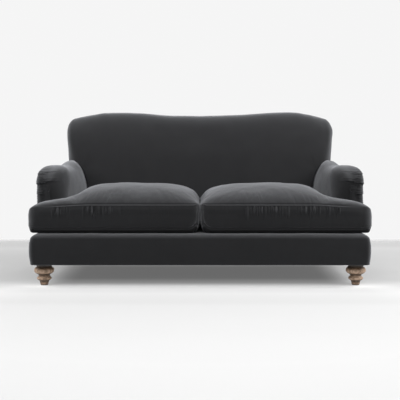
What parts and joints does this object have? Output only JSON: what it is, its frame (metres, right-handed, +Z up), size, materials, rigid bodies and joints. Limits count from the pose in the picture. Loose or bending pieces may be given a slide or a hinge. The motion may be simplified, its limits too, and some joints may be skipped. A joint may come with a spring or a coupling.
{
  "type": "two-seater sofa",
  "caption": "Two-seater roll-arm sofa with a tight serpentine back, loose T-shaped seat cushions, upholstered base band and turned front legs, in charcoal velvet",
  "frame": {"origin": "on the floor, under the middle of the sofa's bounding box", "axes": "+X to the right seen from the front, +Y to the back, +Z up"},
  "size_m": [1.7, 0.96, 0.885],
  "materials": {
    "velvet": "charcoal velvet, soft nap with a pale sheen at grazing angles",
    "oak_leg": "light oak, satin lacquer",
    "frame_pine": "sawn softwood",
    "panel_board": "pressed board",
    "foam": "open-cell foam with fibre wrap",
    "steel": "zinc-plated steel",
    "nylon_glide": "moulded nylon",
    "webbing": "woven webbing",
    "hessian": "coarse woven hessian",
    "dust_cloth": "thin non-woven black cloth",
    "zip_tape": "woven zip tape"
  },
  "bodies": {
    "frame": {"front_leg_left": "oak_leg", "front_leg_right": "oak_leg", "rear_leg_left": "oak_leg", "rear_leg_right": "oak_leg", "leg_bolts": "steel", "leg_plates": "steel", "leg_glides": "nylon_glide", "front_rail": "frame_pine", "rear_rail": "frame_pine", "side_rail_left": "frame_pine", "side_rail_right": "frame_pine", "centre_rail": "frame_pine", "corner_blocks": "frame_pine", "arm_front_post_left": "frame_pine", "arm_front_post_right": "frame_pine", "arm_top_rail_left": "frame_pine", "arm_top_rail_right": "frame_pine", "arm_lower_rail_left": "frame_pine", "arm_lower_rail_right": "frame_pine", "arm_front_board_left": "frame_pine", "arm_front_board_right": "frame_pine", "arm_side_board_left": "panel_board", "arm_side_board_right": "panel_board", "back_post_left": "frame_pine", "back_post_right": "frame_pine", "back_top_rail": "frame_pine", "back_lower_rail": "frame_pine", "back_upright": "frame_pine", "back_board": "panel_board", "frame_screws": "steel", "seat_springs": "steel", "spring_clips": "steel", "spring_tie_wires": "steel", "back_webbing": "webbing", "seat_hessian": "hessian", "deck_pad": "foam", "base_padding": "foam", "arm_foam_left": "foam", "arm_foam_right": "foam", "back_foam": "foam", "base_cover": "velvet", "arm_cover_left": "velvet", "arm_cover_right": "velvet", "outside_arm_cover_left": "velvet", "outside_arm_cover_right": "velvet", "back_cover": "velvet", "outside_back_cover": "velvet", "deck_cover": "velvet", "dust_cover": "dust_cloth"},
    "seat_cushion_left": {"seat_core_left": "foam", "ear_core_left": "foam", "seat_cushion_cover_left": "velvet", "zip_tape_left": "zip_tape"},
    "seat_cushion_right": {"seat_core_right": "foam", "ear_core_right": "foam", "seat_cushion_cover_right": "velvet", "zip_tape_right": "zip_tape"},
    "zip_slider_left": {"zip_slider_left": "steel"},
    "zip_slider_right": {"zip_slider_right": "steel"}
  },
  "joints": [
    {"name": "left_cushion_lift", "type": "slide", "parent": "frame", "child": "seat_cushion_left", "axis": [0, 0, 1], "range_m": [0, 0.3]},
    {"name": "right_cushion_lift", "type": "slide", "parent": "frame", "child": "seat_cushion_right", "axis": [0, 0, 1], "range_m": [0, 0.3]},
    {"name": "left_zip", "type": "slide", "parent": "seat_cushion_left", "child": "zip_slider_left", "axis": [1, 0, 0], "range_m": [-0.2, 0.2]},
    {"name": "right_zip", "type": "slide", "parent": "seat_cushion_right", "child": "zip_slider_right", "axis": [1, 0, 0], "range_m": [-0.2, 0.2]}
  ]
}
